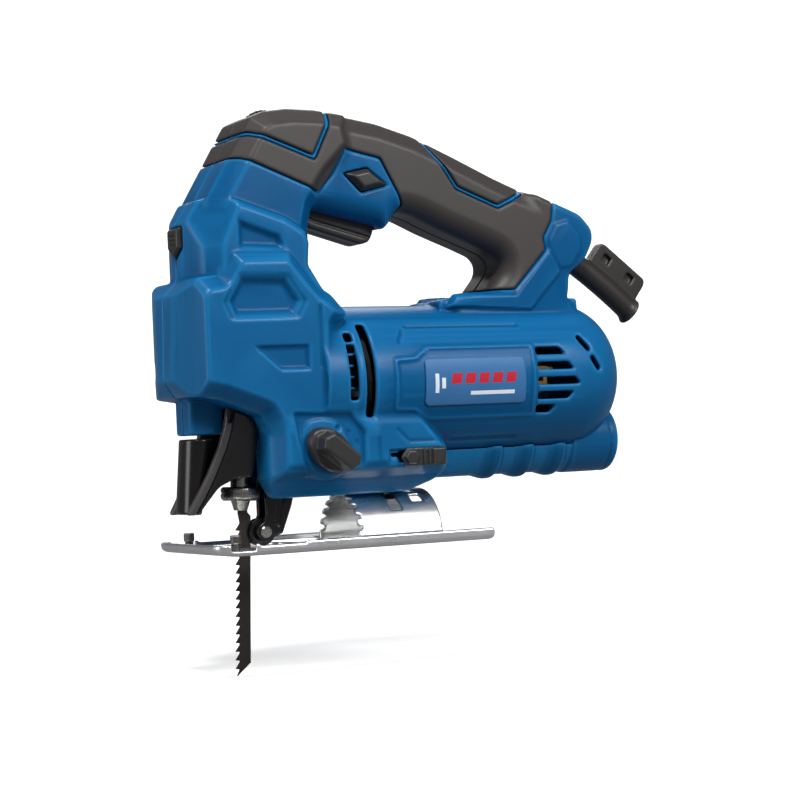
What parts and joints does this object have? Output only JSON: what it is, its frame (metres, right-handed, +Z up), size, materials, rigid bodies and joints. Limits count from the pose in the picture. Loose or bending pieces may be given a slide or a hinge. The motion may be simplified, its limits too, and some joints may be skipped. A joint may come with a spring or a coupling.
{
  "type": "jigsaw power tool",
  "caption": "Corded D-handle jigsaw with tilting sole, orbital action, keyless blade clamp, laser guide, speed dial and a dust port.",
  "frame": {"origin": "middle of the sole's flat underside", "axes": "+X to the rear of the tool, +Y to its right side, +Z up from the sole towards the handle"},
  "size_m": [0.2648, 0.0846, 0.2633],
  "materials": {
    "housing_plastic": "satin moulded",
    "grip_rubber": "fine grained",
    "sleeve_rubber": "satin",
    "label_film": "satin printed film",
    "black_plastic": "satin",
    "red_lens": "clear",
    "brass": "machined",
    "cast_alloy": "cast",
    "machined_steel": "turned",
    "core_steel": "laminated, varnished",
    "copper_wire": "enamelled",
    "carbon": "pressed",
    "dark_steel": "blackened",
    "blade_steel": "ground, oil blackened",
    "zinc_sheet": "bright zinc plated"
  },
  "bodies": {
    "housing": {"left_housing": "housing_plastic", "right_housing": "housing_plastic", "left_grip": "grip_rubber", "right_grip": "grip_rubber", "dust_tube": "housing_plastic", "cord_sleeve": "sleeve_rubber", "label_plate": "label_film", "blade_guard": "black_plastic", "laser_module": "brass", "laser_lens": "red_lens", "gear_case": "cast_alloy", "upper_bush": "brass", "lower_bush": "brass", "gear_shaft": "machined_steel", "front_bearing": "machined_steel", "rear_bearing": "machined_steel", "stator_core": "core_steel", "field_coil_front": "copper_wire", "field_coil_rear": "copper_wire", "brush_holder_left": "brass", "brush_holder_right": "brass", "carbon_brush_left": "carbon", "carbon_brush_right": "carbon", "trigger_switch": "black_plastic", "fork_pin": "machined_steel", "clamp_saddle": "machined_steel", "clamp_screw": "dark_steel", "housing_screw_1": "dark_steel", "housing_screw_2": "dark_steel", "housing_screw_3": "dark_steel", "housing_screw_4": "dark_steel", "housing_screw_5": "dark_steel", "housing_screw_6": "dark_steel", "housing_screw_7": "dark_steel"},
    "base": {"sole_plate": "zinc_sheet", "tilt_cradle": "zinc_sheet", "fence_screw_left": "dark_steel", "fence_screw_right": "dark_steel"},
    "plunger": {"plunger": "machined_steel", "blade": "blade_steel"},
    "clamp_collar": {"clamp_collar": "machined_steel"},
    "armature": {"armature_shaft": "machined_steel", "armature_core": "core_steel", "armature_winding_front": "copper_wire", "armature_winding_rear": "copper_wire", "commutator": "copper_wire", "cooling_fan": "black_plastic"},
    "drive_gear": {"drive_gear": "machined_steel"},
    "pendulum": {"pendulum_fork": "dark_steel", "roller_pin": "machined_steel"},
    "guide_roller": {"guide_roller": "dark_steel"},
    "selector_knob": {"selector_knob": "black_plastic"},
    "trigger": {"trigger": "black_plastic"},
    "lock_on_button": {"lock_on_button": "black_plastic"},
    "laser_button": {"laser_button": "black_plastic"},
    "blower_slider": {"blower_slider": "black_plastic"},
    "speed_dial": {"speed_dial": "black_plastic"}
  },
  "joints": [
    {"name": "base_tilt", "type": "hinge", "parent": "housing", "child": "base", "pos_m": [0.02925, 0, 0.003], "axis": [1, 0, 0], "range_deg": [-45, 45]},
    {"name": "plunger_stroke", "type": "slide", "parent": "housing", "child": "plunger", "axis": [0.0454, 0, 0.999], "range_m": [-0.008, 0.01]},
    {"name": "collar_turn", "type": "hinge", "parent": "plunger", "child": "clamp_collar", "pos_m": [-0.0426, 0, 0.027], "axis": [0.0454, 0, 0.999], "range_deg": [0, 60], "stiffness_Nm_per_rad": 0.05, "springref_deg": -5.73},
    {"name": "armature_spin", "type": "hinge", "parent": "housing", "child": "armature", "pos_m": [0.068, 0, 0.077], "axis": [1, 0, 0], "continuous": true},
    {"name": "drive_gear_spin", "type": "hinge", "parent": "housing", "child": "drive_gear", "pos_m": [-0.017, 0, 0.107], "axis": [1, 0, 0], "continuous": true},
    {"name": "pendulum_swing", "type": "hinge", "parent": "housing", "child": "pendulum", "pos_m": [-0.022, 0, 0.042], "axis": [0, -1, 0], "range_deg": [0, 4], "stiffness_Nm_per_rad": 0.6, "springref_deg": -5.73},
    {"name": "roller_spin", "type": "hinge", "parent": "pendulum", "child": "guide_roller", "pos_m": [-0.0335, 0, 0.009], "axis": [0, 1, 0], "continuous": true},
    {"name": "selector_turn", "type": "hinge", "parent": "housing", "child": "selector_knob", "pos_m": [-0.0125, -0.034, 0.046], "axis": [0, -1, 0], "range_deg": [0, 72]},
    {"name": "trigger_press", "type": "slide", "parent": "housing", "child": "trigger", "axis": [0.2099, 0, 0.9777], "range_m": [0, 0.0045], "stiffness_N_per_m": 600, "springref_m": -0.003},
    {"name": "lock_on_press", "type": "slide", "parent": "housing", "child": "lock_on_button", "axis": [0, 1, 0], "range_m": [0, 0.0025], "stiffness_N_per_m": 500, "springref_m": -0.001},
    {"name": "laser_button_press", "type": "slide", "parent": "housing", "child": "laser_button", "axis": [1, 0, 0], "range_m": [0, 0.0015], "stiffness_N_per_m": 500, "springref_m": -0.001},
    {"name": "blower_slide", "type": "slide", "parent": "housing", "child": "blower_slider", "axis": [-1, 0, 0], "range_m": [0, 0.005]},
    {"name": "dial_turn", "type": "hinge", "parent": "housing", "child": "speed_dial", "pos_m": [-0.0235, 0, 0.1964], "axis": [0, 1, 0], "range_deg": [0, 270]}
  ],
  "couplings": [
    {"joint": "drive_gear_spin", "follows": "armature_spin", "ratio": -0.2}
  ]
}
